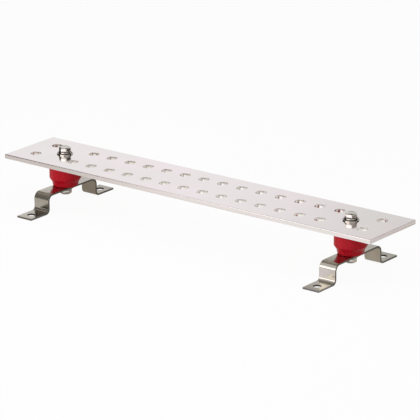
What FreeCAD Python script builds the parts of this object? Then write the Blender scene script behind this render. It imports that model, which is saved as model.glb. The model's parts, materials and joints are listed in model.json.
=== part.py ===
"""Earth terminal bar: a plated copper bar on two moulded insulators and two strap brackets.

The bar is drilled with two rows of holes for two-hole cable lugs. Near each end one screw
clamps the bar down onto an insulator, and one screw from below clamps the insulator onto a
hat-shaped strap bracket, whose two feet are screwed to a wall or a rack.

Frame, in millimetres: the origin is on the mounting surface, under the middle of the bar.
+X runs along the bar, +Y across it, and +Z stands off the mounting surface.
"""

import FreeCAD
import Part

import math
import os

from FreeCAD import Vector

# Bar
BAR_LENGTH = 609.6
BAR_WIDTH = 101.6
BAR_THICKNESS = 6.35
BAR_EDGE_RADIUS = 1.0

# Lug holes: two rows, with a field of columns between the clamp screws and one column past each
LUG_HOLE_DIAMETER = 14.3
LUG_HOLE_CHAMFER = 0.35
LUG_ROW_SPACING = 44.45
LUG_COLUMN_PITCH = 31.75
LUG_END_MARGIN = 31.75
LUG_CLAMP_GAP = 66.675

# Clamp hardware, one screw size throughout
THREAD_DIAMETER = 9.525
THREAD_CLEARANCE = 0.05
SCREW_HOLE_CLEARANCE = 0.8
HEAD_ACROSS_FLATS = 14.2875
HEAD_HEIGHT = 5.9
HEAD_CHAMFER_ANGLE = 30.0
WASHER_FACE_HEIGHT = 0.4
WASHER_FACE_INSET = 0.45
CROWN_INSET = 0.8
SCREW_END_CHAMFER = 1.0
TOP_SCREW_LENGTH = 19.05
BOTTOM_SCREW_LENGTH = 15.875

# Washers
FLAT_WASHER_DIAMETER = 22.0
FLAT_WASHER_THICKNESS = 1.5
FLAT_WASHER_EDGE = 0.3
LOCK_WASHER_DIAMETER = 17.3
LOCK_WASHER_THICKNESS = 2.4
LOCK_WASHER_EDGE = 0.35
LOCK_WASHER_GAP = 1.1
LOCK_WASHER_GAP_ANGLE = 32.0
WASHER_BORE_CLEARANCE = 0.3

# Insulator, moulded round two inserts
INSULATOR_HEIGHT = 38.1
INSERT_STAND_OUT = 0.4
BAND_DIAMETER = 44.0
BAND_HEIGHT = 26.2
SHOULDER_HEIGHT = 5.2
NECK_TOP_DIAMETER = 37.0
NECK_FOOT_DIAMETER = 34.4
INSULATOR_EDGE_RADIUS = 0.9
SHOULDER_RADIUS = 2.0

# Threaded insert: hexagonal bar with a turned groove that keys it into the moulding
INSERT_ACROSS_FLATS = 15.875
INSERT_GROOVE_WIDTH = 3.0
INSERT_GROOVE_DEPTH = 1.2
INSERT_GROOVE_DISTANCE = 7.0
INSERT_FLOOR = 1.2
THREAD_RUNOUT = 1.0
DRILL_POINT_ANGLE = 118.0
THREAD_COUNTERSINK = 0.6

# Bracket, bent from flat strap
STRAP_WIDTH = 25.4
STRAP_THICKNESS = 2.5
STRAP_EDGE_RADIUS = 0.3
BRACKET_HEIGHT = 27.0
BRACKET_SPAN = 102.8
FOOT_LENGTH = 35.8
FOOT_HOLE_DIAMETER = 11.1
FOOT_HOLE_SETBACK = 14.2
TOP_BEND_RADIUS = 7.0
FOOT_BEND_RADIUS = 4.5

# Turn of each hexagonal head about its own axis, in degrees, as the screws came to rest
HEAD_TURNS = {
    "left_top": 28.0,
    "left_bottom": 16.0,
    "right_top": 11.0,
    "right_bottom": 35.0,
}
LOCK_WASHER_TURNS = {
    "left_top": 200.0,
    "left_bottom": 75.0,
    "right_top": 150.0,
    "right_bottom": 320.0,
}

UP = Vector(0, 0, 1)
OVERCUT = 1.0
DETAIL_OVERCUT = 0.5

CLAMP_X = BAR_LENGTH / 2 - LUG_END_MARGIN - LUG_CLAMP_GAP / 2
SEAT_TOP_Z = BRACKET_HEIGHT
BAR_BOTTOM_Z = BRACKET_HEIGHT + INSULATOR_HEIGHT
BAR_TOP_Z = BAR_BOTTOM_Z + BAR_THICKNESS
SEAT_BOTTOM_Z = BRACKET_HEIGHT - STRAP_THICKNESS
SCREW_HOLE_RADIUS = THREAD_DIAMETER / 2 + SCREW_HOLE_CLEARANCE
WASHER_BORE_RADIUS = THREAD_DIAMETER / 2 + WASHER_BORE_CLEARANCE
INSERT_BORE_RADIUS = THREAD_DIAMETER / 2 + THREAD_CLEARANCE

# The longer reach of the two screws into their inserts sets how deep an insert is drilled
WASHER_STACK = FLAT_WASHER_THICKNESS + LOCK_WASHER_THICKNESS
TOP_SCREW_REACH = TOP_SCREW_LENGTH - WASHER_STACK - BAR_THICKNESS
BOTTOM_SCREW_REACH = BOTTOM_SCREW_LENGTH - WASHER_STACK - STRAP_THICKNESS
THREAD_DEPTH = max(TOP_SCREW_REACH, BOTTOM_SCREW_REACH) + THREAD_RUNOUT
DRILL_POINT_DEPTH = INSERT_BORE_RADIUS / math.tan(math.radians(DRILL_POINT_ANGLE / 2))
INSERT_LENGTH = THREAD_DEPTH + DRILL_POINT_DEPTH + INSERT_FLOOR


def line(start, end):
    """Straight edge between two points."""
    return Part.LineSegment(start, end).toShape()


def polygon_face(points):
    """Flat face inside a closed outline of points."""
    return Part.Face(Part.makePolygon(points + [points[0]]))


def revolved(profile):
    """Solid of revolution about Z, from (radius, height) points listed round its section."""
    points = [Vector(radius, 0, height) for radius, height in profile]
    return polygon_face(points).revolve(Vector(0, 0, 0), UP, 360)


def hexagon_prism(across_flats, height):
    """Upright hexagonal prism that stands on the XY plane, with one corner on +X."""
    corner_radius = across_flats / math.sqrt(3)
    points = []
    for corner in range(6):
        angle = math.radians(60 * corner)
        points.append(Vector(corner_radius * math.cos(angle), corner_radius * math.sin(angle), 0))
    return polygon_face(points).extrude(Vector(0, 0, height))


def cylinder(diameter, height, base):
    """Upright cylinder on a base point."""
    return Part.makeCylinder(diameter / 2, height, base, UP)


def lug_columns():
    """X of every column of lug holes, from the left end to the right."""
    end_column = BAR_LENGTH / 2 - LUG_END_MARGIN
    field_half_length = end_column - LUG_CLAMP_GAP
    gaps = int(2 * field_half_length / LUG_COLUMN_PITCH + 1e-6)
    field = [(index - gaps / 2) * LUG_COLUMN_PITCH for index in range(gaps + 1)]
    return [-end_column] + field + [end_column]


def chamfered_hole_tool(diameter, chamfer, thickness, x, y, bottom_z):
    """Cutter for a hole through a plate, with both rims broken at 45 degrees."""
    radius = diameter / 2
    top_z = bottom_z + thickness
    profile = [
        (0, bottom_z - OVERCUT),
        (radius + chamfer + OVERCUT, bottom_z - OVERCUT),
        (radius, bottom_z + chamfer),
        (radius, top_z - chamfer),
        (radius + chamfer + OVERCUT, top_z + OVERCUT),
        (0, top_z + OVERCUT),
    ]
    tool = revolved(profile)
    tool.translate(Vector(x, y, 0))
    return tool


def terminal_bar():
    """Flat bar with rounded arrises, two rows of lug holes and one clamp hole near each end."""
    corner = Vector(-BAR_LENGTH / 2, -BAR_WIDTH / 2, BAR_BOTTOM_Z)
    bar = Part.makeBox(BAR_LENGTH, BAR_WIDTH, BAR_THICKNESS, corner)
    arrises = [edge for edge in bar.Edges if abs(edge.tangentAt(edge.FirstParameter).z) < 0.5]
    bar = bar.makeFillet(min(BAR_EDGE_RADIUS, 0.45 * BAR_THICKNESS), arrises)
    tools = []
    for x in lug_columns():
        for side in (-1, 1):
            y = side * LUG_ROW_SPACING / 2
            tools.append(chamfered_hole_tool(
                LUG_HOLE_DIAMETER, LUG_HOLE_CHAMFER, BAR_THICKNESS, x, y, BAR_BOTTOM_Z))
    for side in (-1, 1):
        base = Vector(side * CLAMP_X, 0, BAR_BOTTOM_Z - OVERCUT)
        tools.append(cylinder(2 * SCREW_HOLE_RADIUS, BAR_THICKNESS + 2 * OVERCUT, base))
    return bar.cut(Part.makeCompound(tools))


def insert_outside():
    """Outer form of a threaded insert, with its outer face on the XY plane and its length below."""
    body = hexagon_prism(INSERT_ACROSS_FLATS, INSERT_LENGTH)
    body.translate(Vector(0, 0, -INSERT_LENGTH))
    groove_radius = INSERT_ACROSS_FLATS / 2 - INSERT_GROOVE_DEPTH
    groove_top = -INSERT_GROOVE_DISTANCE
    groove_bottom = groove_top - INSERT_GROOVE_WIDTH
    outside = INSERT_ACROSS_FLATS
    groove = revolved([
        (groove_radius, groove_bottom),
        (outside, groove_bottom),
        (outside, groove_top),
        (groove_radius, groove_top),
    ])
    return body.cut(groove)


def threaded_insert():
    """Insert with its blind threaded hole, the thread shown at the screw's size plus clearance."""
    mouth_radius = INSERT_BORE_RADIUS + THREAD_COUNTERSINK
    bore = revolved([
        (0, -THREAD_DEPTH - DRILL_POINT_DEPTH),
        (INSERT_BORE_RADIUS, -THREAD_DEPTH),
        (INSERT_BORE_RADIUS, -THREAD_COUNTERSINK),
        (mouth_radius, 0),
        (mouth_radius, OVERCUT),
        (0, OVERCUT),
    ])
    return insert_outside().cut(bore)


def insulator():
    """Moulded insulator: a wide band over a shoulder and a tapered neck, on the XY plane."""
    foot_z = INSERT_STAND_OUT
    top_z = INSULATOR_HEIGHT - INSERT_STAND_OUT
    band_bottom_z = top_z - BAND_HEIGHT
    neck_top_z = band_bottom_z - SHOULDER_HEIGHT
    outline = [
        Vector(0, 0, foot_z),
        Vector(NECK_FOOT_DIAMETER / 2, 0, foot_z),
        Vector(NECK_TOP_DIAMETER / 2, 0, neck_top_z),
        Vector(BAND_DIAMETER / 2, 0, band_bottom_z),
        Vector(BAND_DIAMETER / 2, 0, top_z),
        Vector(0, 0, top_z),
    ]
    body = polygon_face(outline).revolve(Vector(0, 0, 0), UP, 360)
    rims = []
    shoulders = []
    for edge in body.Edges:
        if not isinstance(edge.Curve, Part.Circle):
            continue
        height = edge.Curve.Center.z
        if abs(height - foot_z) < 1e-6 or abs(height - top_z) < 1e-6:
            rims.append(edge)
        else:
            shoulders.append(edge)
    body = body.makeFillet(INSULATOR_EDGE_RADIUS, rims)
    soft_edges = []
    for edge in body.Edges:
        if isinstance(edge.Curve, Part.Circle):
            height = edge.Curve.Center.z
            if abs(height - band_bottom_z) < 1e-6 or abs(height - neck_top_z) < 1e-6:
                soft_edges.append(edge)
    body = body.makeFillet(SHOULDER_RADIUS, soft_edges)
    top_pocket = insert_outside()
    top_pocket.translate(Vector(0, 0, INSULATOR_HEIGHT))
    bottom_pocket = upside_down(insert_outside())
    return body.cut(Part.makeCompound([top_pocket, bottom_pocket]))


def upside_down(shape):
    """The same piece turned over about X, so that what stood above the XY plane hangs below it."""
    turned = shape.copy()
    turned.rotate(Vector(0, 0, 0), Vector(1, 0, 0), 180)
    return turned


def hexagon_screw(length, turn):
    """Screw with a chamfered hexagonal head on a washer face; the head's seat is the XY plane."""
    head = hexagon_prism(HEAD_ACROSS_FLATS, HEAD_HEIGHT - WASHER_FACE_HEIGHT)
    head.translate(Vector(0, 0, WASHER_FACE_HEIGHT))
    flat_radius = HEAD_ACROSS_FLATS / 2
    corner_radius = HEAD_ACROSS_FLATS / math.sqrt(3)
    crown_radius = flat_radius - CROWN_INSET
    outer_radius = corner_radius + OVERCUT
    drop = (outer_radius - crown_radius) * math.tan(math.radians(HEAD_CHAMFER_ANGLE))
    crown = revolved([
        (0, WASHER_FACE_HEIGHT),
        (outer_radius, WASHER_FACE_HEIGHT),
        (outer_radius, HEAD_HEIGHT - drop),
        (crown_radius, HEAD_HEIGHT),
        (0, HEAD_HEIGHT),
    ])
    head = head.common(crown)
    face_radius = flat_radius - WASHER_FACE_INSET
    washer_face = cylinder(2 * face_radius, WASHER_FACE_HEIGHT, Vector(0, 0, 0))
    shank_radius = THREAD_DIAMETER / 2
    shank = revolved([
        (0, -length),
        (shank_radius - SCREW_END_CHAMFER, -length),
        (shank_radius, -length + SCREW_END_CHAMFER),
        (shank_radius, WASHER_FACE_HEIGHT),
        (0, WASHER_FACE_HEIGHT),
    ])
    screw = head.fuse([washer_face, shank]).removeSplitter()
    screw.rotate(Vector(0, 0, 0), UP, turn)
    return screw


def flat_washer():
    """Stamped flat washer on the XY plane, with its upper outside edge rounded over."""
    radius = FLAT_WASHER_DIAMETER / 2
    return revolved([
        (WASHER_BORE_RADIUS, 0),
        (radius, 0),
        (radius, FLAT_WASHER_THICKNESS - FLAT_WASHER_EDGE),
        (radius - FLAT_WASHER_EDGE, FLAT_WASHER_THICKNESS),
        (WASHER_BORE_RADIUS, FLAT_WASHER_THICKNESS),
    ])


def lock_washer(turn):
    """Split spring washer, pressed flat, with the slanted gap between its two cut ends."""
    radius = LOCK_WASHER_DIAMETER / 2
    ring = revolved([
        (WASHER_BORE_RADIUS, 0),
        (radius - LOCK_WASHER_EDGE, 0),
        (radius, LOCK_WASHER_EDGE),
        (radius, LOCK_WASHER_THICKNESS - LOCK_WASHER_EDGE),
        (radius - LOCK_WASHER_EDGE, LOCK_WASHER_THICKNESS),
        (WASHER_BORE_RADIUS, LOCK_WASHER_THICKNESS),
    ])
    slant = (LOCK_WASHER_THICKNESS + 2 * OVERCUT) * math.tan(math.radians(LOCK_WASHER_GAP_ANGLE))
    half_gap = LOCK_WASHER_GAP / 2
    low = -OVERCUT
    high = LOCK_WASHER_THICKNESS + OVERCUT
    slot = polygon_face([
        Vector(0, -half_gap - slant / 2, low),
        Vector(0, half_gap - slant / 2, low),
        Vector(0, half_gap + slant / 2, high),
        Vector(0, -half_gap + slant / 2, high),
    ]).extrude(Vector(LOCK_WASHER_DIAMETER, 0, 0))
    washer = ring.cut(slot)
    washer.rotate(Vector(0, 0, 0), UP, turn)
    return washer


def bend(centre_y, centre_z, radius, start_angle, end_angle):
    """Arc in the YZ plane about a bend's centre, with its angles in degrees from +Y."""
    def place(angle):
        turn = math.radians(angle)
        return Vector(0, centre_y + radius * math.cos(turn), centre_z + radius * math.sin(turn))

    middle = (start_angle + end_angle) / 2
    return Part.Arc(place(start_angle), place(middle), place(end_angle)).toShape()


def strap_surface(depth):
    """Edges of the strap's section at a depth below its upper skin, from the -Y tip to the +Y tip."""
    leg_y = BRACKET_SPAN / 2
    tip_y = leg_y + FOOT_LENGTH
    top_centre_y = leg_y - STRAP_THICKNESS - TOP_BEND_RADIUS
    top_centre_z = BRACKET_HEIGHT - STRAP_THICKNESS - TOP_BEND_RADIUS
    top_radius = TOP_BEND_RADIUS + STRAP_THICKNESS - depth
    foot_centre_y = leg_y + FOOT_BEND_RADIUS
    foot_centre_z = STRAP_THICKNESS + FOOT_BEND_RADIUS
    foot_radius = FOOT_BEND_RADIUS + depth
    foot_z = STRAP_THICKNESS - depth
    arcs = [
        bend(-foot_centre_y, foot_centre_z, foot_radius, 270, 360),
        bend(-top_centre_y, top_centre_z, top_radius, 180, 90),
        bend(top_centre_y, top_centre_z, top_radius, 90, 0),
        bend(foot_centre_y, foot_centre_z, foot_radius, 180, 270),
    ]
    edges = []
    pen = Vector(0, -tip_y, foot_z)
    for arc in arcs:
        edges.append(line(pen, arc.valueAt(arc.FirstParameter)))
        edges.append(arc)
        pen = arc.valueAt(arc.LastParameter)
    edges.append(line(pen, Vector(0, tip_y, foot_z)))
    return edges


def bracket():
    """Hat-shaped bracket: one strap with four bends, a seat on top and a drilled foot each side."""
    tip_y = BRACKET_SPAN / 2 + FOOT_LENGTH
    upper = strap_surface(0)
    lower = strap_surface(STRAP_THICKNESS)
    ends = []
    for side in (-1, 1):
        ends.append(line(Vector(0, side * tip_y, STRAP_THICKNESS), Vector(0, side * tip_y, 0)))
    outline = Part.Wire(Part.sortEdges(upper + lower + ends)[0])
    strap = Part.Face(outline).extrude(Vector(STRAP_WIDTH, 0, 0))
    strap.translate(Vector(-STRAP_WIDTH / 2, 0, 0))
    long_edges = []
    for edge in strap.Edges:
        box = edge.BoundBox
        if box.XLength < 1e-6 and abs(abs(box.YMin) - tip_y) + abs(abs(box.YMax) - tip_y) > 1e-6:
            long_edges.append(edge)
    strap = strap.makeFillet(STRAP_EDGE_RADIUS, long_edges)
    tools = []
    seat_base = Vector(0, 0, SEAT_BOTTOM_Z - DETAIL_OVERCUT)
    tools.append(cylinder(2 * SCREW_HOLE_RADIUS, STRAP_THICKNESS + 2 * DETAIL_OVERCUT, seat_base))
    for side in (-1, 1):
        base = Vector(0, side * (tip_y - FOOT_HOLE_SETBACK), -DETAIL_OVERCUT)
        tools.append(cylinder(FOOT_HOLE_DIAMETER, STRAP_THICKNESS + 2 * DETAIL_OVERCUT, base))
    return strap.cut(Part.makeCompound(tools))


def placed(shape, x, z):
    """Copy of a piece moved onto a clamp axis and up to a height."""
    moved = shape.copy()
    moved.translate(Vector(x, 0, z))
    return moved


def clamp_pieces(side, x):
    """Every piece on one clamp axis, by node name, from the bracket up to the upper screw."""
    top_lock_z = BAR_TOP_Z + FLAT_WASHER_THICKNESS
    top_head_z = top_lock_z + LOCK_WASHER_THICKNESS
    low_lock_z = SEAT_BOTTOM_Z - FLAT_WASHER_THICKNESS
    low_head_z = low_lock_z - LOCK_WASHER_THICKNESS
    top = side + "_top"
    bottom = side + "_bottom"
    upper_screw = hexagon_screw(TOP_SCREW_LENGTH, HEAD_TURNS[top])
    lower_screw = upside_down(hexagon_screw(BOTTOM_SCREW_LENGTH, HEAD_TURNS[bottom]))
    upper_lock = lock_washer(LOCK_WASHER_TURNS[top])
    lower_lock = upside_down(lock_washer(LOCK_WASHER_TURNS[bottom]))
    return {
        side + "_bracket": placed(bracket(), x, 0),
        side + "_insulator": placed(insulator(), x, SEAT_TOP_Z),
        top + "_insert": placed(threaded_insert(), x, BAR_BOTTOM_Z),
        bottom + "_insert": placed(upside_down(threaded_insert()), x, SEAT_TOP_Z),
        top + "_flat_washer": placed(flat_washer(), x, BAR_TOP_Z),
        top + "_lock_washer": placed(upper_lock, x, top_lock_z),
        top + "_screw": placed(upper_screw, x, top_head_z),
        bottom + "_flat_washer": placed(upside_down(flat_washer()), x, SEAT_BOTTOM_Z),
        bottom + "_lock_washer": placed(lower_lock, x, low_lock_z),
        bottom + "_screw": placed(lower_screw, x, low_head_z),
    }


def main():
    """Build every piece, check that it is one sound solid, and write it out."""
    os.makedirs("parts", exist_ok=True)
    pieces = {"terminal_bar": terminal_bar()}
    pieces.update(clamp_pieces("left", -CLAMP_X))
    pieces.update(clamp_pieces("right", CLAMP_X))
    for name, shape in pieces.items():
        if not shape.isValid() or len(shape.Solids) != 1:
            raise ValueError(name + " is not one valid solid")
        shape.Solids[0].exportStep("parts/" + name + ".step")
        print(name, round(shape.Volume, 1))


main()
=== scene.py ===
"""Dresses the earth terminal bar: metal and moulded finishes, threaded screws and inserts, studio.

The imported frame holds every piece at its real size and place. This script gives each of them its
finish, builds the screws and the threaded inserts again with real threads, and sets up a pale
floor, soft studio light and the camera. Lengths are in metres, in the frame's own axes.
"""

import json
import logging
import math
from dataclasses import dataclass, field
from enum import Enum

import bpy
from mathutils import Matrix, Vector


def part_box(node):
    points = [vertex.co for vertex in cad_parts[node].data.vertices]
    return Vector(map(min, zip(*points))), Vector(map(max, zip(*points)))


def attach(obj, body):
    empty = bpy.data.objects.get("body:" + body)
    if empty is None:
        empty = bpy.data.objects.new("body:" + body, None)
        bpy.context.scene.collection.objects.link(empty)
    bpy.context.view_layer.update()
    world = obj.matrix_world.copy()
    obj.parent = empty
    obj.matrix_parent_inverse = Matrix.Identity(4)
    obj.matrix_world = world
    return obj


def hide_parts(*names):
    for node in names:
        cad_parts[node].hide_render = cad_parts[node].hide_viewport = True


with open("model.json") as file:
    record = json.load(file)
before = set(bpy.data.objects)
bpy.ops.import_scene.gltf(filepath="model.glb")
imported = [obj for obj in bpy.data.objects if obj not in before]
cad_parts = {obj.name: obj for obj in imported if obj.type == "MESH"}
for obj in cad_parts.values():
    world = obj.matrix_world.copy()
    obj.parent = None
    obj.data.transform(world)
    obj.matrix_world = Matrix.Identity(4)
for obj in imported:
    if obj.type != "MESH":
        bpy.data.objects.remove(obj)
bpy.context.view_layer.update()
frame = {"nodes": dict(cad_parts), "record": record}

ROOT = "root"
MM = 0.001
WHITE = (1.0, 1.0, 1.0, 1.0)

log = logging.getLogger("earth_bar")

Colour = tuple[float, float, float]
Cells = tuple[float, float, float]
Point = tuple[float, float, float]
Socket = bpy.types.NodeSocket


class Side(Enum):
    """The two clamp axes, by the word that starts their pieces' names."""

    LEFT = "left"
    RIGHT = "right"


class Level(Enum):
    """The screw above the bar or the one below the bracket."""

    TOP = "top"
    BOTTOM = "bottom"


HEAD_TURNS = {
    Level.TOP: {Side.LEFT: 28.0, Side.RIGHT: 11.0},
    Level.BOTTOM: {Side.LEFT: 16.0, Side.RIGHT: 35.0},
}


class Shade:
    """A number on its way through a material's nodes, with Python's own arithmetic."""

    def __init__(self, desk: "Desk", socket: Socket) -> None:
        """Wrap one output socket.

        Args:
            desk: The node tree that the socket belongs to.
            socket: The output that carries the number.
        """
        self.desk = desk
        self.socket = socket

    def __add__(self, other: "Shade | float") -> "Shade":
        """Sum of two values."""
        return self.desk.math("ADD", self, other)

    def __radd__(self, other: float) -> "Shade":
        """Sum with the number on the left."""
        return self.desk.math("ADD", other, self)

    def __sub__(self, other: "Shade | float") -> "Shade":
        """Difference of two values."""
        return self.desk.math("SUBTRACT", self, other)

    def __rsub__(self, other: float) -> "Shade":
        """Difference with the number on the left."""
        return self.desk.math("SUBTRACT", other, self)

    def __mul__(self, other: "Shade | float") -> "Shade":
        """Product of two values."""
        return self.desk.math("MULTIPLY", self, other)

    def __rmul__(self, other: float) -> "Shade":
        """Product with the number on the left."""
        return self.desk.math("MULTIPLY", other, self)

    def __pow__(self, other: float) -> "Shade":
        """The value raised to a power."""
        return self.desk.math("POWER", self, other)

    def __abs__(self) -> "Shade":
        """The value without its sign."""
        return self.desk.math("ABSOLUTE", self)

    def above(self, edge: float, softness: float) -> "Shade":
        """Mask that rises from 0 to 1 round a value.

        Args:
            edge: The value at the middle of the rise.
            softness: Half the width of the rise.

        Returns:
            The mask.
        """
        return self.desk.remap(self, edge - softness, edge + softness)


class Desk:
    """The node tree of one material or of the world, and the tools that add nodes to it."""

    def __init__(self, tree: bpy.types.NodeTree) -> None:
        """Empty a node tree and keep it.

        Args:
            tree: The tree to build in.
        """
        self.tree = tree
        tree.nodes.clear()

    def node(self, kind: str, settings: dict | None = None, sockets: dict | None = None) -> bpy.types.Node:
        """Add one node.

        Args:
            kind: The node's type name.
            settings: Its properties, which are set first.
            sockets: Values, Shades or sockets for its inputs, by name or number.

        Returns:
            The new node.
        """
        made = self.tree.nodes.new(kind)
        for name, value in (settings or {}).items():
            setattr(made, name, value)
        for name, value in (sockets or {}).items():
            source = value.socket if isinstance(value, Shade) else value
            if isinstance(source, Socket):
                self.tree.links.new(source, made.inputs[name])
            else:
                made.inputs[name].default_value = source
        return made

    def math(self, operation: str, first: Shade | float, second: Shade | float = 0.0) -> Shade:
        """One Math node.

        Args:
            operation: The node's operation.
            first: Its first value.
            second: Its second value, where the operation has one.

        Returns:
            The result.
        """
        made = self.node("ShaderNodeMath", {"operation": operation}, {0: first, 1: second})
        return Shade(self, made.outputs[0])

    def remap(self, value: Shade, low: float, high: float) -> Shade:
        """Stretch a range of values smoothly onto 0 to 1, held at both ends.

        Args:
            value: The value to stretch.
            low: What becomes 0.
            high: What becomes 1.

        Returns:
            The stretched value.
        """
        sockets = {"Value": value, "From Min": low, "From Max": high}
        made = self.node("ShaderNodeMapRange", {"interpolation_type": "SMOOTHSTEP"}, sockets)
        return Shade(self, made.outputs["Result"])

    def span(self, along: Shade, across: Shade) -> Shade:
        """Length of a line, from its two parts at right angles."""
        return (along * along + across * across) ** 0.5

    def place(self) -> Socket:
        """Where on the piece a point is, in metres, in the frame's axes."""
        return self.node("ShaderNodeTexCoord").outputs["Object"]

    def axes(self) -> tuple[Shade, Shade, Shade]:
        """X, Y and Z of the point, each as a value."""
        split = self.node("ShaderNodeSeparateXYZ", sockets={0: self.place()})
        return tuple(Shade(self, split.outputs[index]) for index in range(3))

    def grain(self, cells: Cells, detail: float = 3.0, turn: float = 0.0, roughness: float = 0.5) -> Shade:
        """Noise stretched along an axis, as rolling or brushing leaves it.

        Args:
            cells: Cells to the metre along X, Y and Z.
            detail: Octaves of finer noise.
            turn: Turn of the pattern about Z, in degrees.
            roughness: How strong the finer octaves are.

        Returns:
            Noise from 0 to 1.
        """
        sockets = {"Vector": self.place(), "Rotation": (0.0, 0.0, math.radians(turn)), "Scale": cells}
        mapping = self.node("ShaderNodeMapping", sockets=sockets)
        sockets = {"Vector": mapping.outputs[0], "Scale": 1.0, "Detail": detail, "Roughness": roughness}
        made = self.node("ShaderNodeTexNoise", sockets=sockets)
        return Shade(self, made.outputs[0])

    def blend(self, mask: Shade | float, first: Colour | Socket, second: Colour | Socket) -> Socket:
        """Mix two colours.

        Args:
            mask: 0 gives the first, 1 the second.
            first: A colour or a colour socket.
            second: A colour or a colour socket.

        Returns:
            The mixed colour's socket.
        """
        a, b = ((*c, 1.0) if isinstance(c, tuple) else c for c in (first, second))
        made = self.node("ShaderNodeMix", {"data_type": "RGBA"}, {0: mask, 6: a, 7: b})
        return made.outputs[2]

    def bump(self, height: Shade, depth: float, under: Socket | None = None) -> Socket:
        """Relief from a height value.

        Args:
            height: 0 is low and 1 is high.
            depth: The real height of that step, in metres.
            under: A relief that this one lies on.

        Returns:
            The normal's socket.
        """
        sockets = {"Strength": 1.0, "Distance": depth, "Height": height}
        if under is not None:
            sockets["Normal"] = under
        return self.node("ShaderNodeBump", sockets=sockets).outputs[0]


@dataclass(frozen=True)
class Finish:
    """What every finish has: the record's slot it belongs to, and its base colour."""

    slot: str
    colour: Colour

    def build(self) -> bpy.types.Material:
        """Make the material.

        Returns:
            The material, under its slot's name.
        """
        material = bpy.data.materials.new(self.slot)
        material.use_nodes = True
        desk = Desk(material.node_tree)
        surface = self.surface(desk)
        desk.node("ShaderNodeOutputMaterial", sockets={"Surface": surface.outputs[0]})
        log.info("finish %s: %d nodes", self.slot, len(material.node_tree.nodes))
        return material

    def surface(self, desk: Desk) -> bpy.types.Node:
        """Add the nodes of this finish and return its surface shader."""
        raise NotImplementedError

    @staticmethod
    def darker(colour: Colour, share: float) -> Colour:
        """The colour with each channel times a share."""
        return tuple(channel * share for channel in colour)


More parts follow.
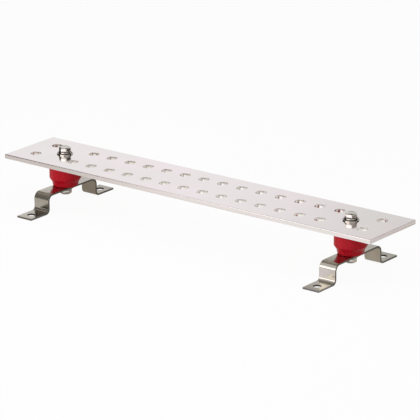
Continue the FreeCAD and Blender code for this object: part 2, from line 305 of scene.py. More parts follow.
@dataclass(frozen=True)
class BrightTin(Finish):
    """Bright tin plate on rolled copper: nearly a mirror, with rolling lines along the bar."""

    slot: str = "tinned_copper"
    colour: Colour = (0.81, 0.727, 0.748)
    cool_colour: Colour = (0.76, 0.715, 0.715)
    lit_wall_colour: Colour = (0.84, 0.81, 0.78)
    shaded_chamfer_colour: Colour = (0.74, 0.71, 0.67)
    top: float = 0.0
    half_width: float = 0.0
    half_length: float = 0.0
    chamfer: float = 0.00036
    rim: float = 0.00002
    arris: float = 0.0015
    edge_break: float = 0.0007
    roughness: float = 0.07
    mark_roughness: float = 0.05
    drilled_roughness: float = 0.1
    chamfer_roughness: float = 0.15
    rolled_roughness: float = 0.14
    sawn_roughness: float = 0.3
    sawn_scatter: float = 0.6
    cloud_cells: Cells = (9.0, 14.0, 14.0)
    streak_cells: Cells = (4.0, 900.0, 900.0)
    hairline_cells: Cells = (12.0, 2600.0, 2600.0)
    scuff_cells: Cells = (2100.0, 30.0, 30.0)
    hairline_turn: float = 4.0
    scuff_turn: float = 31.0
    hairline_edge: float = 0.72
    scuff_edge: float = 0.76
    mark_softness: float = 0.03
    haze: float = 0.05
    streak_haze: float = 0.025
    haze_edge: float = 0.52
    haze_softness: float = 0.2
    tint_edge: float = 0.5
    tint_softness: float = 0.22
    hairline_tone: float = 0.08
    scuff_tone: float = 0.1
    mark_share: float = 0.55
    rolled_share: float = 0.8
    streak_depth: float = 0.4e-6

    def drilled(self, desk: Desk) -> Shade:
        """Mask of the drilled walls and their chamfers.

        Args:
            desk: The material's node tree.

        Returns:
            1 inside the holes and 0 on the bar's own faces.
        """
        x, y, z = desk.axes()
        below = 1.0 - z.above(self.top - self.rim, self.rim / 2)
        inside = 1.0 - abs(y).above(self.half_width - self.arris, self.rim)
        between = 1.0 - abs(x).above(self.half_length - self.arris, self.rim)
        return below * inside * between

    def broken_edge(self, desk: Desk, across: Shade, reach: float) -> Shade:
        """Mask of a pair of upper edges that were rounded.

        Args:
            desk: The material's node tree.
            across: The coordinate that grows towards the edges.
            reach: How far out the edges are.

        Returns:
            1 on the rounded edges and 0 on the flat faces.
        """
        outside = abs(across).above(reach - self.edge_break, self.rim)
        return outside * desk.axes()[2].above(self.top - self.edge_break, self.rim)

    def surface(self, desk: Desk) -> bpy.types.Node:
        """Mirror metal, with streaks of haze and hairlines along X, and duller drilled walls that are
        painted lighter, with painted shade on their chamfers.

        Args:
            desk: The material's node tree.

        Returns:
            The shader.
        """
        x, y, z = desk.axes()
        clouds = desk.grain(self.cloud_cells, detail=4.0)
        streaks = desk.grain(self.streak_cells, detail=2.0)
        hairlines = desk.grain(self.hairline_cells, detail=1.0, turn=self.hairline_turn)
        hairlines = hairlines.above(self.hairline_edge, self.mark_softness)
        scuffs = desk.grain(self.scuff_cells, detail=1.0, turn=self.scuff_turn)
        scuffs = scuffs.above(self.scuff_edge, self.mark_softness)
        drilled = self.drilled(desk)
        chamfer = drilled * z.above(self.top - self.chamfer, self.rim)
        rolled = self.broken_edge(desk, y, self.half_width)
        sawn = self.broken_edge(desk, x, self.half_length)
        haze = clouds.above(self.haze_edge, self.haze_softness) * self.haze + streaks * self.streak_haze
        rough = haze + (hairlines + scuffs) * self.mark_roughness + self.roughness
        rough = rough + drilled * self.drilled_roughness + chamfer * self.chamfer_roughness
        rough = rough + rolled * self.rolled_roughness + sawn * self.sawn_roughness
        cool = clouds.above(self.tint_edge, self.tint_softness)
        tinted = desk.blend(cool, self.colour, self.cool_colour)
        marks = hairlines * self.hairline_tone + scuffs * self.scuff_tone
        marked = desk.blend(marks, tinted, self.darker(self.colour, self.mark_share))
        # Painted light and shade in the holes: the walls are painted lighter than the plate, and the
        # chamfers at their rims darker.
        walls_lit = desk.blend(drilled, marked, self.lit_wall_colour)
        rounded = desk.blend(rolled, walls_lit, self.darker(self.colour, self.rolled_share))
        rims_shaded = desk.blend(chamfer, rounded, self.shaded_chamfer_colour)
        relief = desk.bump(streaks, self.streak_depth)
        metal = 1.0 - sawn * self.sawn_scatter
        sockets = {"Base Color": rims_shaded, "Metallic": metal, "Roughness": rough, "Normal": relief}
        return desk.node("ShaderNodeBsdfPrincipled", sockets=sockets)


@dataclass(frozen=True)
class RolledStrap(Finish):
    """Cold-rolled stainless strap: satin across its width, dark where it was sheared, with painted shade on
    the walls of its foot holes.
    """

    slot: str = "strap_steel"
    colour: Colour = (0.47, 0.435, 0.38)
    clamp_x: float = 0.0
    tip_y: float = 0.0
    half_width: float = 0.0127
    burr: float = 0.0004
    hole_setback: float = 0.0142
    hole_radius: float = 0.00555
    punch_rim: float = 0.00005
    hole_shade_bottom: float = 0.0003
    punch_fade: float = 0.0003
    roughness: float = 0.09
    grain_roughness: float = 0.1
    cloud_roughness: float = 0.08
    sheared_roughness: float = 0.2
    punched_roughness: float = 0.3
    grain_cells: Cells = (900.0, 20.0, 20.0)
    cloud_cells: Cells = (70.0, 70.0, 70.0)
    pit_cells: Cells = (900.0, 900.0, 900.0)
    cloud_edge: float = 0.5
    cloud_softness: float = 0.2
    pit_edge: float = 0.68
    pit_softness: float = 0.05
    pit_tone: float = 0.2
    sheared_tone: float = 0.85
    cloud_share: float = 0.9
    pit_share: float = 0.4
    sheared_share: float = 0.25
    hole_shade_share: float = 0.15
    grain_depth: float = 0.3e-6

    def sheared(self, desk: Desk) -> Shade:
        """Mask of the strap's long edges and of its two tips.

        Args:
            desk: The material's node tree.

        Returns:
            1 on the sheared edges, 0 on the rolled faces.
        """
        x, y, _ = desk.axes()
        side = abs(abs(x) - self.clamp_x).above(self.half_width - self.burr, self.burr / 2)
        tip = abs(y).above(self.tip_y - self.burr / 2, self.burr / 4)
        return desk.math("MAXIMUM", side, tip)

    def hole_shade(self, desk: Desk) -> Shade:
        """Mask of painted shade on the foot holes' walls.

        Args:
            desk: The material's node tree.

        Returns:
            1 inside the holes, fading to 0 near their lowest part, and 0 elsewhere.
        """
        x, y, z = desk.axes()
        radius = desk.span(abs(x) - self.clamp_x, abs(y) - (self.tip_y - self.hole_setback))
        inside = 1.0 - radius.above(self.hole_radius + self.punch_rim, self.punch_rim / 2)
        return inside * z.above(self.hole_shade_bottom, self.punch_fade)

    def surface(self, desk: Desk) -> bpy.types.Node:
        """Satin metal with a grain that follows the strap round its bends.

        Args:
            desk: The material's node tree.

        Returns:
            The shader.
        """
        sheared, hole_shade = self.sheared(desk), self.hole_shade(desk)
        grain = desk.grain(self.grain_cells, detail=2.0)
        clouds = desk.grain(self.cloud_cells, detail=4.0)
        pits = desk.grain(self.pit_cells, detail=2.0).above(self.pit_edge, self.pit_softness)
        rough = grain * self.grain_roughness + clouds * self.cloud_roughness + self.roughness
        rough = rough + sheared * self.sheared_roughness + hole_shade * self.punched_roughness
        worn = clouds.above(self.cloud_edge, self.cloud_softness)
        tone = desk.blend(worn, self.colour, self.darker(self.colour, self.cloud_share))
        pitted = desk.blend(pits * self.pit_tone, tone, self.darker(self.colour, self.pit_share))
        dark_edge = self.darker(self.colour, self.sheared_share)
        edged = desk.blend(sheared * self.sheared_tone, pitted, dark_edge)
        # Painted shade: the foot holes' walls are darkened for the shade inside them.
        hole_shaded = desk.blend(hole_shade, edged, self.darker(self.colour, self.hole_shade_share))
        relief = desk.bump(grain, self.grain_depth)
        sockets = {"Base Color": hole_shaded, "Metallic": 1.0, "Roughness": rough, "Normal": relief}
        return desk.node("ShaderNodeBsdfPrincipled", sockets=sockets)


@dataclass(frozen=True)
class MouldedRed(Finish):
    """Red glass-filled polyester: glossy, faintly marbled, with the mould's parting line."""

    slot: str = "insulator_red"
    colour: Colour = (0.46, 0.005, 0.015)
    roughness: float = 0.2
    swirl_roughness: float = 0.08
    skin_roughness: float = 0.05
    line_roughness: float = 0.2
    gloss: float = 0.13
    index: float = 1.5
    swirl_cells: Cells = (120.0, 120.0, 60.0)
    skin_cells: Cells = (1500.0, 1500.0, 1500.0)
    swirl_edge: float = 0.5
    swirl_softness: float = 0.25
    swirl_share: float = 0.78
    line_tone: float = 0.35
    line_share: float = 0.6
    line_width: float = 0.00022
    line_height: float = 0.00006
    skin_depth: float = 2.5e-6

    def surface(self, desk: Desk) -> bpy.types.Node:
        """Glossy moulding with swirls under its skin and a fine witness line.

        Args:
            desk: The material's node tree.

        Returns:
            The shader.
        """
        _, y, _ = desk.axes()
        swirl = desk.grain(self.swirl_cells, detail=5.0, roughness=0.65)
        skin = desk.grain(self.skin_cells, detail=2.0)
        parting = 1.0 - abs(y).above(self.line_width, self.line_width / 2)
        deep = self.darker(self.colour, self.swirl_share)
        tone = desk.blend(swirl.above(self.swirl_edge, self.swirl_softness), self.colour, deep)
        lined = desk.blend(parting * self.line_tone, tone, self.darker(self.colour, self.line_share))
        rough = swirl * self.swirl_roughness + skin * self.skin_roughness + self.roughness
        rough = rough + parting * self.line_roughness
        relief = desk.bump(skin, self.skin_depth)
        ridge = desk.bump(parting, self.line_height, under=relief)
        sockets = {"Base Color": lined, "Roughness": rough, "Normal": ridge, "IOR": self.index,
                   "Specular IOR Level": self.gloss}
        return desk.node("ShaderNodeBsdfPrincipled", sockets=sockets)


@dataclass(frozen=True)
class TurnedMetal(Finish):
    """Metal of the small pieces: worked grain, soft tarnish, light wear and, where a finish gives it,
    painted shade.
    """

    roughness: float = 0.25
    mark_roughness: float = 0.05
    dull_roughness: float = 0.08
    shade_roughness: float = 0.25
    mark_cells: Cells = (700.0, 700.0, 2600.0)
    patch_cells: Cells = (260.0, 260.0, 260.0)
    patch_edge: float = 0.55
    patch_softness: float = 0.18
    tarnish: float = 0.15
    tarnish_share: float = 0.45
    shade_share: float = 0.25
    mark_depth: float = 0.8e-6

    def painted_shade(self, desk: Desk) -> Shade | float:
        """Mask of painted shade; none, unless a finish says otherwise."""
        return 0.0

    def surface(self, desk: Desk) -> bpy.types.Node:
        """Worked metal with fine tool marks, patches of tarnish and any painted shade.

        Args:
            desk: The material's node tree.

        Returns:
            The shader.
        """
        marks = desk.grain(self.mark_cells, detail=2.0)
        patches = desk.grain(self.patch_cells, detail=4.0)
        dull = patches.above(self.patch_edge, self.patch_softness)
        # Painted shade from the finish, if any, darkens the colour and raises the roughness.
        painted_shade = self.painted_shade(desk)
        rough = marks * self.mark_roughness + dull * self.dull_roughness + self.roughness
        rough = rough + painted_shade * self.shade_roughness
        tarnished = self.darker(self.colour, self.tarnish_share)
        tone = desk.blend(dull * self.tarnish, self.colour, tarnished)
        shaded = desk.blend(painted_shade, tone, self.darker(self.colour, self.shade_share))
        relief = desk.bump(marks, self.mark_depth)
        sockets = {"Base Color": shaded, "Metallic": 1.0, "Roughness": rough, "Normal": relief}
        return desk.node("ShaderNodeBsdfPrincipled", sockets=sockets)


@dataclass(frozen=True)
class ShadedWasher(TurnedMetal):
    """Washers: bright round the outside, dull and with painted shade near the screw and, where joints are
    given, beside them.
    """

    clamp_x: float = 0.0
    shade_radius: float = 0.0
    shade_fade: float = 0.00004
    joints: tuple[float, ...] = ()
    joint_shade_height: float = 0.0009
    joint_shade_fade: float = 0.0001

    def painted_shade(self, desk: Desk) -> Shade:
        """Mask of painted shade on the washer.

        Args:
            desk: The material's node tree.

        Returns:
            1 within the shade radius and beside the joints, 0 elsewhere.
        """
        x, y, z = desk.axes()
        # Painted shade: darker inside a radius round the screw and beside the joints, for the shade between
        # the stacked parts.
        unshaded = desk.span(abs(x) - self.clamp_x, y).above(self.shade_radius, self.shade_fade)
        for joint in self.joints:
            unshaded = unshaded * abs(z - joint).above(self.joint_shade_height, self.joint_shade_fade)
        return 1.0 - unshaded


class Workshop:
    """The modelling steps that the new pieces share, each done with Blender's own operators."""

    WELD = MM / 1000
    SMOOTH_ANGLE = 35.0

    @staticmethod
    def clear() -> None:
        """Leave edit mode and deselect everything."""
        if bpy.context.object is not None and bpy.context.object.mode != "OBJECT":
            bpy.ops.object.mode_set(mode="OBJECT")
        bpy.ops.object.select_all(action="DESELECT")

    @classmethod
    def pick(cls, piece: bpy.types.Object) -> None:
        """Select one piece alone and make it active.

        Args:
            piece: The piece to select.
        """
        cls.clear()
        piece.select_set(True)
        bpy.context.view_layer.objects.active = piece

    @classmethod
    def edit(cls, piece: bpy.types.Object) -> None:
        """Open a piece in edit mode with all of it selected.

        Args:
            piece: The piece to open.
        """
        cls.pick(piece)
        bpy.ops.object.mode_set(mode="EDIT")
        bpy.ops.mesh.select_all(action="SELECT")

    @staticmethod
    def face_outwards() -> None:
        """Turn every face of the piece in edit mode outwards and leave edit mode."""
        bpy.ops.mesh.select_all(action="SELECT")
        bpy.ops.mesh.normals_make_consistent(inside=False)
        bpy.ops.object.mode_set(mode="OBJECT")

    @classmethod
    def apply(cls, piece: bpy.types.Object, kind: str, **settings: object) -> None:
        """Add a modifier to a piece and apply it.

        Args:
            piece: The piece to change.
            kind: The modifier's type.
            settings: Its properties.
        """
        cls.pick(piece)
        modifier = piece.modifiers.new(kind.lower(), kind)
        for name, value in settings.items():
            setattr(modifier, name, value)
        bpy.ops.object.modifier_apply(modifier=modifier.name)

    @classmethod
    def combine(cls, piece: bpy.types.Object, tool: bpy.types.Object, operation: str) -> bpy.types.Object:
        """Join, cut or intersect a piece with a tool, which is used up.

        Args:
            piece: The piece that stays.
            tool: The other solid.
            operation: UNION, DIFFERENCE or INTERSECT.

        Returns:
            The piece.
        """
        cls.apply(piece, "BOOLEAN", object=tool, operation=operation, solver="EXACT")
        bpy.data.objects.remove(tool)
        return piece

    @classmethod
    def chain(cls, points: list[Vector]) -> bpy.types.Object:
        """A line drawn by extruding one vertex from point to point.

        Args:
            points: Where the line goes.

        Returns:
            The line, with all of it selected in object mode.
        """
        cls.clear()
        bpy.ops.mesh.primitive_plane_add(size=MM)
        bpy.ops.object.mode_set(mode="EDIT")
        bpy.ops.mesh.merge(type="CENTER")
        bpy.ops.transform.translate(value=points[0])
        for start, end in zip(points, points[1:]):
            bpy.ops.mesh.extrude_vertices_move(TRANSFORM_OT_translate={"value": end - start})
        bpy.ops.object.mode_set(mode="OBJECT")
        return bpy.context.object

    @classmethod
    def lathe(cls, outline: list[tuple[float, float]], steps: int) -> bpy.types.Object:
        """A turned solid about the Z axis.

        Args:
            outline: Radius and height of each point round half its section.
            steps: Faces round the axis.

        Returns:
            The closed solid.
        """
        turned = cls.chain([Vector((radius, 0.0, height)) for radius, height in outline])
        cls.edit(turned)
        bpy.ops.mesh.spin(steps=steps, angle=math.tau, center=(0.0, 0.0, 0.0), axis=(0.0, 0.0, 1.0))
        bpy.ops.mesh.select_all(action="SELECT")
        bpy.ops.mesh.remove_doubles(threshold=cls.WELD)
        cls.face_outwards()
        return turned

    @classmethod
    def prism(cls, corner_radius: float, low: float, high: float) -> bpy.types.Object:
        """A hexagonal prism about the Z axis, with one corner on +X.

        Args:
            corner_radius: From the axis to a corner.
            low: Height of its lower face.
            high: Height of its upper face.

        Returns:
            The prism.
        """
        cls.clear()
        bpy.ops.mesh.primitive_cylinder_add(
            vertices=6, radius=corner_radius, depth=high - low, location=(0.0, 0.0, (low + high) / 2),
            rotation=(0.0, 0.0, math.radians(30.0)))
        bpy.ops.object.transform_apply(location=True, rotation=True, scale=True)
        return bpy.context.object

    @classmethod
    def copy(cls, piece: bpy.types.Object) -> bpy.types.Object:
        """Copy a piece.

        Args:
            piece: The pattern.

        Returns:
            The copy, with a mesh of its own.
        """
        twin = piece.copy()
        twin.data = piece.data.copy()
        bpy.context.scene.collection.objects.link(twin)
        return twin

    @classmethod
    def settle(cls, piece: bpy.types.Object, name: str) -> None:
        """Put a piece's place into its mesh, smooth its round faces and name it.

        Args:
            piece: The finished piece.
            name: Its name in the scene.
        """
        cls.edit(piece)
        bpy.ops.mesh.remove_doubles(threshold=cls.WELD / 10)
        cls.face_outwards()
        bpy.ops.object.transform_apply(location=True, rotation=True, scale=True)
        bpy.ops.object.shade_smooth_by_angle(angle=math.radians(cls.SMOOTH_ANGLE))
        piece.name = name
        piece.data.name = name


@dataclass(frozen=True)
class Thread:
    """The sixty-degree, right-handed thread that a screw and its insert share, about the Z axis."""

    major_radius: float = 9.525 * MM / 2
    pitch: float = 1.5875 * MM
    depth: float = 0.92 * MM
    crest_share: float = 0.14
    root_share: float = 0.2
    clearance: float = 0.05 * MM
    steps: int = 40

    @property
    def root_radius(self) -> float:
        """Radius at the bottom of the screw's thread."""
        return self.major_radius - self.depth

    def section(self, growth: float) -> list[Vector]:
        """One pitch of the thread, drawn in the XZ plane.

        Args:
            growth: Added to every radius.

        Returns:
            The points from one root to the next.
        """
        root = self.root_radius + growth
        crest = self.major_radius + growth
        flank = (1.0 - self.crest_share - self.root_share) / 2 * self.pitch
        crest_end = flank + self.crest_share * self.pitch
        fall_end = crest_end + flank
        outline = [(root, 0.0), (crest, flank), (crest, crest_end), (root, fall_end), (root, self.pitch)]
        return [Vector((radius, 0.0, height)) for radius, height in outline]

    def rod(self, low: float, high: float, growth: float = 0.0) -> bpy.types.Object:
        """A threaded rod with flat ends.

        Args:
            low: Height of its lower end.
            high: Height of its upper end.
            growth: Added to every radius.

        Returns:
            The closed rod. All rods lie on one helix, so a screw fits its insert.
        """
        first_turn = math.floor(low / self.pitch) - 1
        turns = math.ceil(high / self.pitch) + 1 - first_turn
        rise = Vector((0.0, 0.0, first_turn * self.pitch))
        rod = Workshop.chain([point + rise for point in self.section(growth)])
        Workshop.apply(
            rod, "SCREW", axis="Z", angle=math.tau, screw_offset=self.pitch, iterations=turns,
            steps=self.steps, render_steps=self.steps)
        Workshop.edit(rod)
        bpy.ops.mesh.remove_doubles(threshold=Workshop.WELD)
        for height, keep_above in ((low, True), (high, False)):
            bpy.ops.mesh.select_all(action="SELECT")
            bpy.ops.mesh.bisect(
                plane_co=(0.0, 0.0, height), plane_no=(0.0, 0.0, 1.0), use_fill=True,
                clear_inner=keep_above, clear_outer=not keep_above)
        Workshop.face_outwards()
        return rod


@dataclass
class ClampScrew:
    """A hexagonal screw and its threaded insert, about the Z axis with the head's seat at zero."""

    level: Level
    thread: Thread = field(default_factory=Thread)
    across_flats: float = 14.2875 * MM
    washer_face: float = 0.4 * MM
    face_inset: float = 0.45 * MM
    crown_inset: float = 0.8 * MM
    crown_angle: float = 30.0
    edge_break: float = 0.1 * MM
    edge_segments: int = 2
    edge_angle: float = 50.0
    end_chamfer: float = 1.0 * MM
    neck_length: float = 1.3 * MM
    neck_radius: float = 4.2 * MM
    insert_across_flats: float = 15.875 * MM
    groove_width: float = 3.0 * MM
    groove_depth: float = 1.2 * MM
    groove_distance: float = 7.0 * MM
    countersink: float = 0.6 * MM
    insert_floor: float = 1.2 * MM
    drill_angle: float = 118.0
    lap: float = 0.2 * MM
    reach: float = 2.0 * MM
    crown_steps: int = 96
    steps: int = 80

    def __post_init__(self) -> None:
        """Read length, grip, head height and insert length from the frame's own solids."""
        stem = f"{Side.LEFT.value}_{self.level.value}_"
        washer, screw, insert = (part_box(stem + part) for part in ("lock_washer", "screw", "insert"))
        if self.level is Level.TOP:
            seat, tip, crown, face = washer[1].z, screw[0].z, screw[1].z, insert[1].z
        else:
            seat, tip, crown, face = washer[0].z, screw[1].z, screw[0].z, insert[0].z
        self.length = abs(seat - tip)
        self.head_height = abs(crown - seat)
        self.grip = abs(seat - face)
        self.insert_length = insert[1].z - insert[0].z

    def head(self) -> bpy.types.Object:
        """Hexagon with a chamfered crown and one corner on +X.

        Returns:
            The head above its washer face.
        """
        corner = self.across_flats / math.sqrt(3)
        head = Workshop.prism(corner, self.washer_face, self.head_height)
        inner = self.across_flats / 2 - self.crown_inset
        outer = corner + self.reach
        drop = (outer - inner) * math.tan(math.radians(self.crown_angle))
        low = -self.reach
        crown = Workshop.lathe(
            [(0.0, low), (outer, low), (outer, self.head_height - drop), (inner, self.head_height),
             (0.0, self.head_height)], self.crown_steps)
        Workshop.combine(head, crown, "INTERSECT")
        Workshop.apply(
            head, "BEVEL", width=self.edge_break, segments=self.edge_segments, limit_method="ANGLE",
            angle_limit=math.radians(self.edge_angle))
        return head

    def shank(self) -> bpy.types.Object:
        """Threaded shank with a chamfered end and a thread that runs out below the neck.

        Returns:
            The closed shank, all below the head's seat.
        """
        rod = self.thread.rod(-self.length - self.reach, 0.0)
        wide = self.thread.major_radius + self.reach
        tip = self.thread.major_radius - self.end_chamfer
        top = self.neck_radius - self.lap
        end, run_out = -self.length, -self.neck_length
        limits = Workshop.lathe(
            [(0.0, end), (tip, end), (wide, wide - tip + end), (wide, top - wide + run_out), (top, run_out),
             (0.0, run_out)], self.steps)
        return Workshop.combine(rod, limits, "INTERSECT")

    def screw(self) -> bpy.types.Object:
        """The whole screw: head, washer face, neck and threaded shank.

        Returns:
            The screw, in one mesh.
        """
        face = self.across_flats / 2 - self.face_inset
        low = -self.neck_length - 2 * self.lap
        high = self.washer_face + self.lap
        inner = self.neck_radius
        neck = Workshop.lathe(
            [(0.0, low), (inner, low), (inner, 0.0), (face, 0.0), (face, high), (0.0, high)], self.steps)
        screw = Workshop.combine(self.head(), neck, "UNION")
        return Workshop.combine(screw, self.shank(), "UNION")

    def insert(self) -> bpy.types.Object:
        """Hexagonal insert with its groove, drill point and countersink.

        Returns:
            The insert at its depth below the head's seat, still without its thread.
        """
        face = -self.grip
        blank = Workshop.prism(self.insert_across_flats / math.sqrt(3), face - self.insert_length, face)
        high = face - self.groove_distance
        low = high - self.groove_width
        inner = self.insert_across_flats / 2 - self.groove_depth
        outer = self.insert_across_flats
        ring = [(inner, low), (outer, low), (outer, high), (inner, high), (inner, low)]
        Workshop.combine(blank, Workshop.lathe(ring, self.steps), "DIFFERENCE")
        drill = self.thread.root_radius
        point = drill / math.tan(math.radians(self.drill_angle / 2))
        floor = face - self.insert_length + self.insert_floor
        mouth = self.thread.major_radius + self.thread.clearance + self.countersink
        sink = mouth - drill
        clear = face + self.reach
        hole = Workshop.lathe(
            [(0.0, floor), (drill, floor + point), (drill, face - sink), (mouth + self.reach, clear),
             (0.0, clear)], self.steps)
        return Workshop.combine(blank, hole, "DIFFERENCE")

    def tap(self) -> bpy.types.Object:
        """The threaded tool that cuts the insert's thread.

        Returns:
            A rod on the screw's own helix, larger than the screw by the clearance.
        """
        drill = self.thread.root_radius
        point = drill / math.tan(math.radians(self.drill_angle / 2))
        end = self.insert_floor + point + self.thread.pitch - self.grip - self.insert_length
        return self.thread.rod(end, -self.grip + self.reach, self.thread.clearance)

    def place(self, side: Side, turn: float) -> Matrix:
        """Where the screw stands on a clamp axis.

        Args:
            side: The clamp axis.
            turn: Turn of the head about its own axis, in degrees, before a lower screw is turned over.

        Returns:
            The screw's matrix.
        """
        low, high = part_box(f"{side.value}_{self.level.value}_lock_washer")
        upright = self.level is Level.TOP
        seat = Vector(((low.x + high.x) / 2, 0.0, high.z if upright else low.z))
        over = Matrix.Rotation(0.0 if upright else math.pi, 4, "X")
        return Matrix.Translation(seat) @ over @ Matrix.Rotation(math.radians(turn), 4, "Z")

    def build(self, turns: dict[Side, float], wardrobe: "Wardrobe") -> None:
        """Make this level's screws and inserts, one pair on each clamp axis.

        Args:
            turns: Turn of each screw's head, in degrees.
            wardrobe: The finishes that the pieces wear.
        """
        screw, insert, tap = self.screw(), self.insert(), self.tap()
        for side, turn in turns.items():
            stem = f"{side.value}_{self.level.value}_"
            driven = Workshop.copy(screw)
            driven.matrix_world = self.place(side, turn)
            tapped = Workshop.copy(insert)
            tapped.matrix_world = self.place(side, 0.0)
            tool = Workshop.copy(tap)
            tool.matrix_world = self.place(side, turn)
            Workshop.combine(tapped, tool, "DIFFERENCE")
            for piece, part, slot in ((driven, "screw", "screw_steel"), (tapped, "insert", "insert_brass")):
                Workshop.settle(piece, f"{stem}threaded_{part}")
                wardrobe.wear(piece, slot)
                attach(piece, ROOT)
                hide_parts(stem + part)
                log.info("%s: %d faces", piece.name, len(piece.data.polygons))
        for pattern in (screw, insert, tap):
            bpy.data.objects.remove(pattern)


@dataclass(frozen=True)
class Viewpoint:
    """The photograph's camera, about the middle of the bar's top."""

    azimuth: float = 37.884
    elevation: float = 18.185
    roll: float = -0.309
    distance: float = 3.967055
    shift_right: float = -0.009318
    shift_up: float = 0.032304
    sensor: float = 36.0
    lens: float = 256.77

    def axes(self) -> tuple[Vector, Vector, Vector]:
        """How the camera is turned.

        Returns:
            Right, up and back of the camera, as unit vectors in the frame's axes.
        """
        turn, tilt = math.radians(self.azimuth), math.radians(self.elevation)
        back = Vector((math.sin(turn) * math.cos(tilt), -math.cos(turn) * math.cos(tilt), math.sin(tilt)))
        level = Vector((math.cos(turn), math.sin(turn), 0.0))
        rolled = Matrix.Rotation(math.radians(self.roll), 3, back)
        return rolled @ level, rolled @ back.cross(level), back

    def build(self, aim: Vector) -> None:
        """Add the camera and make it the scene's own.

        Args:
            aim: The middle of the bar's top.
        """
        right, up, back = self.axes()
        data = bpy.data.cameras.new("photo_camera")
        data.sensor_width = self.sensor
        data.lens = self.lens
        camera = bpy.data.objects.new("photo_camera", data)
        camera.matrix_world = Matrix((right, up, back)).transposed().to_4x4()
        camera.location = aim + back * self.distance - right * self.shift_right - up * self.shift_up
        bpy.context.scene.collection.objects.link(camera)
        bpy.context.scene.camera = camera


@dataclass(frozen=True)
class Panel:
    """A flat studio panel that faces the object: a soft lamp, or a card seen only in reflections."""

    name: str
    azimuth: float
    elevation: float
    distance: float
    width: float
    height: float
    radiance: float = 0.0
    aim: Point = (0.0, 0.0, 0.05)
    tint: Colour = (1.0, 1.0, 1.0)
    fade: float = 0.1
    mirrored: bool = True

    def matrix(self) -> Matrix:
        """Where the panel stands.

        Returns:
            Its matrix, with its face towards the point that it aims at.
        """
        turn, tilt = math.radians(self.azimuth), math.radians(self.elevation)
        out = Vector((math.sin(turn) * math.cos(tilt), -math.cos(turn) * math.cos(tilt), math.sin(tilt)))
        spin = out.to_track_quat("Z", "Y").to_matrix().to_4x4()
        return Matrix.Translation(Vector(self.aim) + out * self.distance) @ spin

    def lamp(self) -> None:
        """Add the panel as a soft area lamp of its radiance."""
        data = bpy.data.lights.new(self.name, "AREA")
        data.shape = "RECTANGLE"
        data.size, data.size_y = self.width, self.height
        data.energy = self.radiance * math.pi * self.width * self.height
        data.color = self.tint
        made = bpy.data.objects.new(self.name, data)
        made.matrix_world = self.matrix()
        made.visible_camera = False
        made.visible_glossy = self.mirrored
        bpy.context.scene.collection.objects.link(made)

    def card(self) -> None:
        """Add the panel as a card with soft edges that only mirror-like surfaces see."""
        Workshop.clear()
        bpy.ops.mesh.primitive_plane_add(size=2.0)
        made = bpy.context.object
        made.name = self.name
        made.matrix_world = self.matrix() @ Matrix.Diagonal((self.width / 2, self.height / 2, 1.0, 1.0))
        material = bpy.data.materials.new(self.name)
        material.use_nodes = True
        desk = Desk(material.node_tree)
        across, along, _ = desk.axes()
        across_fade, along_fade = self.fade / self.width, self.fade / self.height
        inside = 1.0 - abs(across).above(1.0 - across_fade, across_fade)
        inside = inside * (1.0 - abs(along).above(1.0 - along_fade, along_fade))
        clear = desk.node("ShaderNodeBsdfTransparent").outputs[0]
        glow = desk.node("ShaderNodeEmission", sockets={"Color": (*self.tint, 1.0), "Strength": 1.0})
        mixed = desk.node("ShaderNodeMixShader", sockets={0: inside, 1: clear, 2: glow.outputs[0]})
        desk.node("ShaderNodeOutputMaterial", sockets={"Surface": mixed.outputs[0]})
        made.data.materials.append(material)
        for ray in ("camera", "diffuse", "transmission", "shadow", "volume_scatter"):
            setattr(made, "visible_" + ray, False)


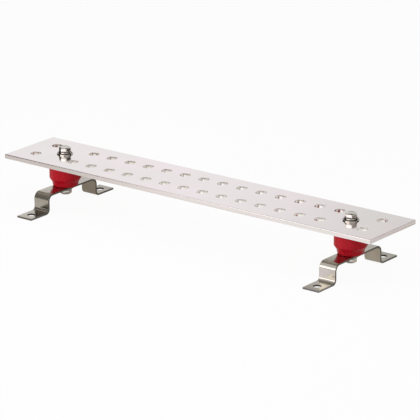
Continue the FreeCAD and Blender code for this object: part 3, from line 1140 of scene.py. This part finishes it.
@dataclass
class Studio:
    """Pale floor, white surroundings, soft lamps, and cards that give the metal its dark edges and paint
    the floor's shadow and light into its reflections.
    """

    floor_size: float = 14.0
    floor_colour: Colour = (0.9, 0.9, 0.895)
    floor_lift: float = 0.94
    mirrored_lift: float = 0.4
    ambient: float = 0.5
    view: Viewpoint = field(default_factory=Viewpoint)

    def lamps(self) -> list[Panel]:
        """The soft lamps.

        Returns:
            A key and an even one that mirrors don't show, and one beside the camera.
        """
        return [
            Panel("key_softbox", -30.0, 9.0, 1.5, 0.8, 0.36, radiance=8.0, mirrored=False),
            Panel("overhead_softbox", 20.0, 78.0, 1.1, 1.3, 1.1, radiance=0.9, mirrored=False),
            Panel("camera_side_softbox", 0.0, 18.0, 2.2, 1.4, 1.2, radiance=1.75),
        ]

    def standing_cards(self) -> list[Panel]:
        """The cards that stand round the object or hang over it.

        Returns:
            Dark ones at the left, above and behind the right end, pale ones behind, a bright one in front.
        """
        dark = (0.03, 0.025, 0.018)
        return [
            Panel("left_card", -90.0, 0.0, 1.1, 2.2, 1.0,
                  aim=(0.0, -0.35, 0.3), tint=dark, fade=0.3),
            Panel("left_upper_card", -90.0, 0.0, 1.12, 2.1, 1.05,
                  aim=(0.0, -0.3, 0.925), tint=(0.22, 0.205, 0.185), fade=0.4),
            Panel("right_rear_card", 136.0, 14.0, 1.6, 1.1, 1.1,
                  tint=dark, fade=0.15),
            Panel("right_card", 104.0, 14.0, 1.6, 0.7, 0.9,
                  tint=(0.5, 0.48, 0.44)),
            Panel("rear_card", 180.0, 24.0, 1.6, 1.54, 1.0,
                  aim=(-0.37, 0.0, 0.05), tint=(0.74, 0.755, 0.715), fade=0.6),
            Panel("low_rear_card", 180.0, 0.0, 0.4, 0.9, 0.31,
                  aim=(-0.25, 0.0, 0.005), tint=(0.62, 0.62, 0.61), fade=0.03),
            Panel("ceiling_card", 0.0, 90.0, 1.2, 2.1, 1.75,
                  aim=(0.2, 0.425, 0.07), tint=(0.2, 0.18, 0.16), fade=0.3),
            Panel("strip_card", -38.0, 14.0, 2.0, 0.8, 0.95,
                  aim=(0.38, -0.05, 0.05), tint=(3.8, 3.8, 3.8), fade=0.3),
        ]

    def floor_cards(self) -> list[Panel]:
        """Cards on the floor that paint its shadow and light into reflections; a higher one covers a lower
        one.

        Returns:
            One panel for each row of place, width, depth, tint and width of its soft edge.
        """
        # Painted shadow and light seen only in reflections: the dark cards stand for the floor's shadow
        # under and beside the bar, the pale and bright ones for lit floor near the legs.
        rows = {
            "front_floor_card": ((0.05, -0.24, 0.0002), 1.1, 0.3, (1.0, 1.01, 0.95), 0.08),
            "left_floor_card": ((-0.63, -0.4, 0.0004), 1.1, 0.8, (0.68, 0.65, 0.6), 0.3),
            "right_floor_card": ((0.62, 0.3, 0.0004), 0.6, 0.6, (0.75, 0.72, 0.64), 0.15),
            "rear_floor_card": ((0.03, 0.2, 0.0004), 0.8, 0.24, (0.3, 0.27, 0.23), 0.05),
            "under_bar_shadow_card": ((0.05, 0.01, 0.0006), 0.8, 0.14, (0.68, 0.63, 0.57), 0.05),
            "left_shadow_card": ((-0.36, 0.03, 0.0008), 0.6, 0.16, (0.42, 0.38, 0.33), 0.04),
            "left_leg_card": ((-0.3, -0.115, 0.001), 0.24, 0.1, (0.82, 0.8, 0.76), 0.02),
            "right_leg_card": ((0.19, -0.1175, 0.001), 0.24, 0.145, (1.31, 1.29, 1.4), 0.02),
            "lower_head_shadow_card": ((-0.01, -0.031, 0.0012), 0.62, 0.062, (0.4, 0.36, 0.33), 0.01),
        }
        return [Panel(name, 0.0, 90.0, 0.0, width, depth, aim=place, tint=tint, fade=fade)
                for name, (place, width, depth, tint, fade) in rows.items()]

    def world(self) -> None:
        """Even light for soft surfaces, and plain white for the camera and for mirrors."""
        world = bpy.data.worlds.new("studio")
        world.use_nodes = True
        bpy.context.scene.world = world
        desk = Desk(world.node_tree)
        path = desk.node("ShaderNodeLightPath")
        rays = [Shade(desk, path.outputs[name]) for name in
                ("Is Camera Ray", "Is Glossy Ray", "Is Transmission Ray")]
        seen = desk.math("MINIMUM", rays[0] + rays[1] + rays[2], 1.0)
        strength = seen * (1.0 - self.ambient) + self.ambient
        sky = desk.node("ShaderNodeBackground", sockets={"Color": WHITE, "Strength": strength})
        desk.node("ShaderNodeOutputWorld", sockets={"Surface": sky.outputs[0]})

    def floor(self) -> None:
        """A pale floor that the object stands on and that keeps a soft shadow."""
        Workshop.clear()
        bpy.ops.mesh.primitive_plane_add(size=self.floor_size, location=(0.0, 0.0, 0.0))
        made = bpy.context.object
        made.name = "floor"
        material = bpy.data.materials.new("floor")
        material.use_nodes = True
        desk = Desk(material.node_tree)
        path = desk.node("ShaderNodeLightPath")
        lift = Shade(desk, path.outputs["Is Camera Ray"]) * self.floor_lift
        lift = lift + Shade(desk, path.outputs["Is Glossy Ray"]) * self.mirrored_lift
        matt = desk.node("ShaderNodeBsdfDiffuse", sockets={"Color": (*self.floor_colour, 1.0)})
        white = desk.node("ShaderNodeEmission", sockets={"Color": WHITE, "Strength": 1.0})
        mixed = desk.node("ShaderNodeMixShader", sockets={0: lift, 1: matt.outputs[0], 2: white.outputs[0]})
        desk.node("ShaderNodeOutputMaterial", sockets={"Surface": mixed.outputs[0]})
        made.data.materials.append(material)

    def build(self) -> None:
        """Set up floor, surroundings, lamps, cards and camera."""
        bpy.context.scene.view_settings.view_transform = "Standard"
        low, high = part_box("terminal_bar")
        self.floor()
        self.world()
        for panel in self.lamps():
            panel.lamp()
        for panel in self.standing_cards() + self.floor_cards():
            panel.card()
        self.view.build(Vector(((low.x + high.x) / 2, (low.y + high.y) / 2, high.z)))


@dataclass
class Wardrobe:
    """Every finish, made once, and the pieces that wear it."""

    clamp_x: float
    tip_y: float
    bar: tuple[Vector, Vector]
    joints: tuple[float, ...]
    materials: dict[str, bpy.types.Material] = field(default_factory=dict)

    def finishes(self) -> list[Finish]:
        """All finishes.

        Returns:
            One for each slot that the record names.
        """
        return [
            BrightTin(top=self.bar[1].z, half_width=self.bar[1].y, half_length=self.bar[1].x),
            RolledStrap(clamp_x=self.clamp_x, tip_y=self.tip_y),
            MouldedRed(),
            TurnedMetal("insert_brass", (0.72, 0.55, 0.28), roughness=0.22),
            ShadedWasher("washer_steel", (0.45, 0.42, 0.37), roughness=0.08, clamp_x=self.clamp_x,
                       shade_radius=0.0098, shade_fade=0.0003),
            ShadedWasher("spring_steel", (0.5, 0.48, 0.44), roughness=0.1, clamp_x=self.clamp_x,
                       shade_radius=0.00858, joints=self.joints),
            TurnedMetal("screw_steel", (0.58, 0.55, 0.51), roughness=0.06),
        ]

    def wear(self, piece: bpy.types.Object, slot: str) -> None:
        """Give a piece the finish of a slot, and nothing else."""
        piece.data.materials.clear()
        piece.data.materials.append(self.materials[slot])

    def dress(self) -> None:
        """Make every finish and give each node of the frame the one of its slot."""
        self.materials = {finish.slot: finish.build() for finish in self.finishes()}
        for part in frame["record"]["subparts"]:
            self.wear(frame["nodes"][part["node"]], part["material_slot"])
            log.info("dressed %s in %s", part["node"], part["material_slot"])


def main() -> None:
    """Build and dress every piece, then set up the studio."""
    logging.basicConfig(level=logging.INFO, format="%(name)s: %(message)s")
    low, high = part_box("right_bracket")
    clamp_x = (low.x + high.x) / 2
    joints = (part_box("right_top_lock_washer")[0].z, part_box("right_bottom_lock_washer")[1].z)
    wardrobe = Wardrobe(clamp_x=clamp_x, tip_y=high.y, bar=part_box("terminal_bar"), joints=joints)
    wardrobe.dress()
    for level, turns in HEAD_TURNS.items():
        ClampScrew(level).build(turns, wardrobe)
    Studio().build()


if __name__ == "__main__":
    main()
